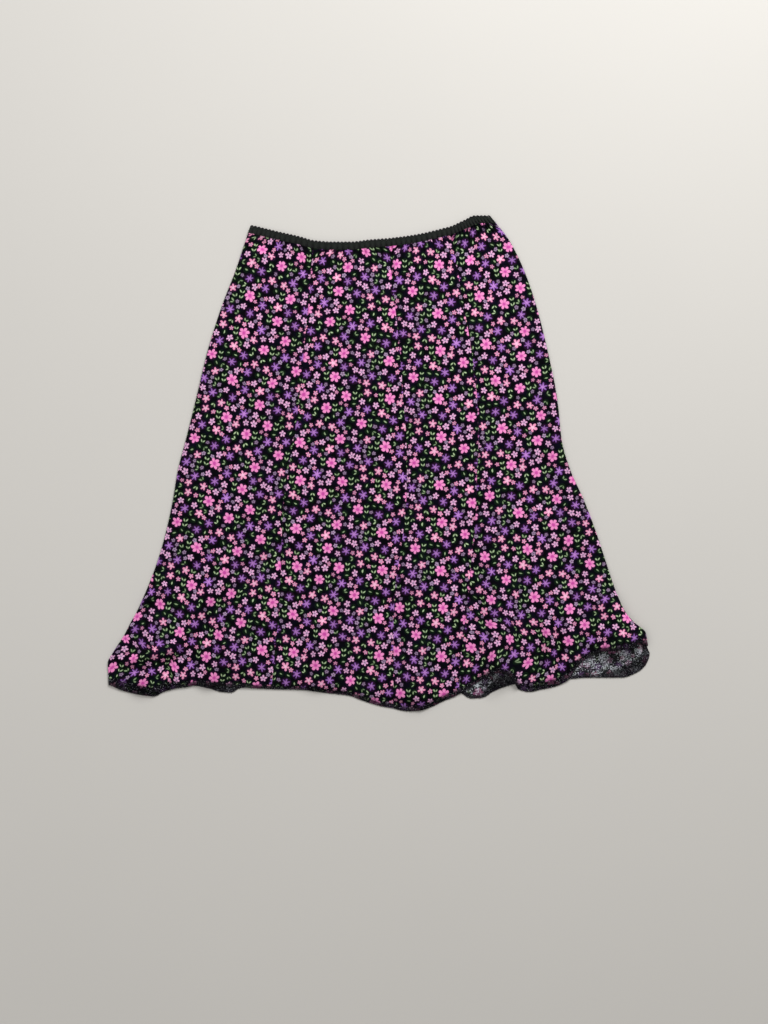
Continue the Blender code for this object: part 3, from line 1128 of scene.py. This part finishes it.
def print_colour(finish, place, look, repeat, ground):
    """The flower print at a place in millimetres, over the ground."""
    motifs = scatter_motifs(repeat, look.seed)
    tile = finish.vector("MULTIPLY", place, (1 / repeat, 1 / repeat, 0.0))
    tile = finish.vector("MULTIPLY", finish.vector("FRACTION", tile), (repeat, repeat, 0.0))
    kinds = {kind.name: kind for kind in KINDS}
    spots = {name: nearest_motif(finish, tile, kind, motifs, repeat) for name, kind in kinds.items()}
    paints = paints_of(look)
    colour = finish.blend(spots["leaf"].inside * SHADE_SHARE, ground, look.leaf_shade)
    for paint in paints:
        colour = finish.blend(spots[paint.name].inside * SHADE_SHARE, colour, look.flower_shade)
    age = finish.math("FRACT", spots["leaf"].tone * AGE_BEAT)
    green = finish.blend(age, look.leaf, look.old_leaf)
    leaves, vein = leaf_mask(finish, spots["leaf"])
    green = finish.blend(vein * VEIN_SHARE, green, look.old_leaf)
    colour = finish.blend(leaves, colour, green)
    for paint in paints:
        spot = spots[paint.name]
        petals, outward, lobe, heart = flower_mask(finish, spot, kinds[paint.name])
        bright = finish.within((outward - paint.throat_reach) * THROAT_SHARPNESS)
        bright *= finish.within(lobe * LOBE_LIGHT + LOBE_LEAST)
        flower = finish.blend(bright, paint.throat, paint.petal)
        flower = finish.blend(heart, flower, paint.heart)
        flower = finish.blend(spot.tone * paint.depth, flower, look.flower_shade)
        colour = finish.blend(petals, colour, flower)
    return colour


# Uneven patches: so far apart, in so many finer steps, and shown where their contrast passes the start
Mottle = namedtuple("Mottle", "spacing detail contrast start")
NAVY = (0.0032, 0.0032, 0.0096)
NAVY_MOTTLE = Mottle(16.0, 2, 4.0, 1.8)
HEM_FLECKS = Mottle(1.6, 2, 10.0, 6.2)
FLECK_SHARE = 0.7

# The print's lines wander this far, in places this far apart, as drawn by hand.
WANDER = 3.4
WANDER_SPACING = 9.0

# The yarns' pitch and how far they lighten the print, the crepe's grain, and how far both stand out
YARN = 0.55
YARN_CONTRAST = 0.5
YARN_LEAST = 0.64
CREPE_GRAIN = 1.9
WEAVE_RISE = 0.18
GRAIN_RISE = 0.6


def woven_height(finish, place):
    """A fine plain weave with the uneven grain of crepe."""
    warp, weft, _ = finish.parts(place)
    over = finish.wave(warp, YARN) * finish.wave(weft, YARN)
    return over * WEAVE_RISE + finish.noise(place, CREPE_GRAIN, detail=3) * GRAIN_RISE


SPECK_SPACING = 2.0
SPECK_CONTRAST = 9.0
SPECK_START = 0.86
PATCH_SPACING = 14.0
PATCH_SHARE = 0.7
DARK_YARN = 0.03


def wrong_side_colour(finish, place, cloth):
    """The unprinted side: dark yarns through which pale ones show in specks, denser in patches."""
    specks = finish.noise(place, SPECK_SPACING, detail=3)
    patches = finish.noise(place, PATCH_SPACING, detail=2)
    pale = finish.within((specks + patches * PATCH_SHARE - SPECK_START) * SPECK_CONTRAST)
    return finish.blend(pale, lit(cloth.wrong_side, DARK_YARN), cloth.wrong_side)


# The band stands for the overlock's dark thread and fibres, and is partly painted shade where the hem
# curls down.
# The dark band along the hem: how high it reaches, how far it wavers and how softly it ends
HEM_BAND = 6.0
HEM_BAND_WAVE = 7.0
HEM_BAND_SPACING = 3.0
HEM_BAND_SOFTNESS = 4.0
HEM_BAND_SHARE = 0.9


def hem_thread_and_shade(finish, place):
    """How far dark thread, fibres and painted shade hide the print: an uneven band along the hem."""
    above = finish.node("ShaderNodeAttribute", {"attribute_name": HEM_MAP}, {}, "Fac")
    uneven = (finish.noise(place, HEM_BAND_SPACING, detail=3) - NOISE_MEAN) * HEM_BAND_WAVE
    return finish.within((uneven + HEM_BAND - above) / HEM_BAND_SOFTNESS) * HEM_BAND_SHARE


def cloth_finish(name, fade):
    """The printed cloth, its print faded by a share towards the pale wrong side."""
    cloth, look = bpy.context.scene.skirt_cloth, bpy.context.scene.skirt_print
    finish = Finish(name)
    place = finish.cut_place()
    drawn = finish.vector("ADD", place, finish.wander(place, WANDER_SPACING, WANDER))
    ground = finish.blend(finish.mottle(place, NAVY_MOTTLE), cloth.ground, NAVY)
    colour = print_colour(finish, drawn, look, look.repeat / MM, ground)
    yarns = finish.noise(place, YARN, detail=1) * YARN_CONTRAST + YARN_LEAST
    colour = finish.node("ShaderNodeVectorMath", {"operation": "SCALE"}, {0: colour, 3: yarns})
    if fade:
        colour = finish.blend(fade, colour, wrong_side_colour(finish, place, cloth))
    flecks = finish.mottle(place, HEM_FLECKS) * FLECK_SHARE
    # The band's colour is dark ground with pale fibres: thread and fibres, with painted shade.
    fluff_and_shade = finish.blend(flecks, cloth.ground, cloth.wrong_side)
    colour = finish.blend(hem_thread_and_shade(finish, place), colour, fluff_and_shade)
    finish.set(Base_Color=colour, Roughness=cloth.roughness)
    finish.set(Sheen_Weight=cloth.sheen, Specular_IOR_Level=cloth.gloss)
    finish.bump(woven_height(finish, place), strength=0.5, depth=0.00022)
    return finish.material


# The knit of the elastic, how the dust lies on it and how far each of its forms stands out
RIB_PITCH = 1.3
KNIT_PITCH = 0.9
LINT_SPACING = 1.25
DUST_LIGHT = 3.2
RIB_DUST = 0.25
LINT_DUST = 0.9
DUST_START = 0.1
RIB_RISE = 0.25
KNIT_RISE = 0.125
LINT_RISE = 0.25


def elastic_finish(name):
    """Knitted black elastic: fine upright ribs, dusty along their crests."""
    elastic = bpy.context.scene.skirt_elastic
    finish = Finish(name)
    place = finish.cut_place()
    along, up, _ = finish.parts(place)
    ribs, knit = finish.wave(along, RIB_PITCH), finish.wave(up, KNIT_PITCH)
    lint = finish.noise(place, LINT_SPACING, detail=4)
    dust = finish.within(ribs * RIB_DUST + lint * LINT_DUST - DUST_START)
    colour = finish.blend(dust, elastic.colour, lit(elastic.colour, DUST_LIGHT))
    finish.set(Base_Color=colour, Roughness=0.9, Sheen_Weight=0.03, Specular_IOR_Level=0.1)
    height = ribs * RIB_RISE + knit * KNIT_RISE + lint * LINT_RISE
    finish.bump(height, strength=0.7, depth=0.0003)
    return finish.material


FIBRES_PER_METRE = 2600.0
NAP_LIGHT = 2.5


def thread_finish(name):
    """Dark spun polyester thread with a slight nap."""
    colour = bpy.context.scene.skirt_hem.colour
    finish = Finish(name)
    spot = finish.node("ShaderNodeTexCoord", {}, {}, "Object")
    nap = finish.noise(spot, 1 / FIBRES_PER_METRE, detail=2)
    finish.set(Base_Color=finish.blend(nap, colour, lit(colour, NAP_LIGHT)))
    finish.set(Roughness=0.8, Specular_IOR_Level=0.15)
    finish.bump(nap, strength=0.4, depth=0.0001)
    return finish.material


FLOOR_PATCHES_PER_METRE = 3.0
FLOOR_PATCH_LIGHT = 0.97


def floor_finish(name):
    """A plain matt floor with the faintest mottle."""
    colour = bpy.context.scene.skirt_stage.floor_colour
    finish = Finish(name)
    spot = finish.node("ShaderNodeTexCoord", {}, {}, "Object")
    patches = finish.noise(spot, 1 / FLOOR_PATCHES_PER_METRE, detail=3)
    finish.set(Base_Color=finish.blend(patches, colour, lit(colour, FLOOR_PATCH_LIGHT)), Roughness=0.9)
    return finish.material


# Stage: floor, lights and camera
SENSOR = 36.0
FRAME_ASPECT = 1024 / 768
VIEW_CENTRE = (0.007, -0.068)
LAMPS = table("name place size energy", (
    ("key", (0.8, 2.0, 1.6), 1.2, 75),
    ("fill", (-1.7, 0.2, 2.2), 2.2, 16),
))
WORLD_COLOUR = (1.0, 0.98, 0.96)
WORLD_STRENGTH = 0.44


def make_floor(stage):
    deselect_all()
    bpy.ops.mesh.primitive_plane_add(size=stage.floor_size)
    floor = just_added("floor")
    floor.data.materials.append(once("pale_floor", floor_finish))


def make_lamp(lamp):
    deselect_all()
    bpy.ops.object.light_add(type="AREA", location=lamp.place)
    light = just_added(lamp.name)
    light.data.size = lamp.size
    light.data.energy = lamp.energy
    aim = Vector((*VIEW_CENTRE, 0.0)) - light.location
    light.rotation_euler = aim.to_track_quat("-Z", "Y").to_euler()


def make_camera(stage):
    """A camera straight above the skirt, as far off as its lens needs for the view's width."""
    height = stage.view_width * FRAME_ASPECT * stage.lens / SENSOR
    bpy.ops.object.camera_add(location=(*VIEW_CENTRE, height), rotation=(0, 0, 0))
    camera = just_added("camera")
    camera.data.lens = stage.lens
    camera.data.sensor_width = SENSOR
    bpy.context.scene.camera = camera


def light_world():
    world = bpy.data.worlds.new("studio")
    bpy.context.scene.world = world
    world.use_nodes = True
    background = world.node_tree.nodes["Background"]
    background.inputs["Color"].default_value = with_alpha(WORLD_COLOUR)
    background.inputs["Strength"].default_value = WORLD_STRENGTH
    bpy.context.scene.view_settings.view_transform = "Standard"


# Operators and panel
class SKIRT_OT_back_gores(bpy.types.Operator):
    """Lay the four back gores flat on the floor"""

    bl_idname = "skirt.back_gores"
    bl_label = "Back Gores"

    def execute(self, context):
        cloth = context.scene.skirt_cloth
        for gore in GORES:
            make_panel("back", gore, cloth.back_columns, cloth.back_rows, cloth)
        return {"FINISHED"}


class SKIRT_OT_front_gores(bpy.types.Operator):
    """Lay the four front gores, with their folds and creases, over the back ones"""

    bl_idname = "skirt.front_gores"
    bl_label = "Front Gores"

    def execute(self, context):
        cloth = context.scene.skirt_cloth
        for gore in GORES:
            make_panel("front", gore, cloth.front_columns, cloth.front_rows, cloth)
        return {"FINISHED"}


class SKIRT_OT_hem_overlock(bpy.types.Operator):
    """Wrap the raw hem of every gore in dark overlock thread"""

    bl_idname = "skirt.hem_overlock"
    bl_label = "Hem Overlock"

    def execute(self, context):
        for layer in HEM_LEVELS:
            for gore in GORES:
                overlock_hem(layer, gore, context.scene.skirt_hem, context.scene.skirt_cloth)
        return {"FINISHED"}


class SKIRT_OT_waist_elastic(bpy.types.Operator):
    """Make the picot-edged elastic round the waist and sew it on"""

    bl_idname = "skirt.waist_elastic"
    bl_label = "Waist Elastic"

    def execute(self, context):
        scene = context.scene
        for layer in HEM_LEVELS:
            band = make_band(layer, scene.skirt_elastic, scene.skirt_cloth)
            sew_band(layer, band, scene.skirt_elastic, scene.skirt_hem, scene.skirt_cloth)
        return {"FINISHED"}


class SKIRT_OT_stage(bpy.types.Operator):
    """Set out the pale floor, the soft lights and the camera straight above"""

    bl_idname = "skirt.stage"
    bl_label = "Stage"

    def execute(self, context):
        stage = context.scene.skirt_stage
        make_floor(stage)
        for lamp in LAMPS:
            make_lamp(lamp)
        light_world()
        make_camera(stage)
        return {"FINISHED"}


OPERATORS = (
    SKIRT_OT_back_gores, SKIRT_OT_front_gores, SKIRT_OT_hem_overlock, SKIRT_OT_waist_elastic,
    SKIRT_OT_stage,
)


class SKIRT_PT_sidebar(bpy.types.Panel):
    """The skirt's sizes and colours, and the steps that make it"""

    bl_idname = "SKIRT_PT_sidebar"
    bl_label = "Laid Skirt"
    bl_space_type = "VIEW_3D"
    bl_region_type = "UI"
    bl_category = "Skirt"

    def draw(self, context):
        for step in OPERATORS:
            self.layout.operator(step.bl_idname)
        for name, group in SETTINGS.items():
            box = self.layout.box()
            for prop in group.__annotations__:
                box.prop(getattr(context.scene, name), prop)


CLASSES = (*SETTINGS.values(), *OPERATORS, SKIRT_PT_sidebar)


def register():
    for made in CLASSES:
        bpy.utils.register_class(made)
    for name, group in SETTINGS.items():
        setattr(bpy.types.Scene, name, bpy.props.PointerProperty(type=group))


def unregister():
    for name in SETTINGS:
        delattr(bpy.types.Scene, name)
    for made in reversed(CLASSES):
        bpy.utils.unregister_class(made)


def plain(box):
    return [[round(value, 5) for value in corner] for corner in box]


def main():
    register()
    bpy.ops.skirt.back_gores()
    bpy.ops.skirt.front_gores()
    bpy.ops.skirt.hem_overlock()
    bpy.ops.skirt.waist_elastic()
    bpy.ops.skirt.stage()


if __name__ == "__main__":
    main()
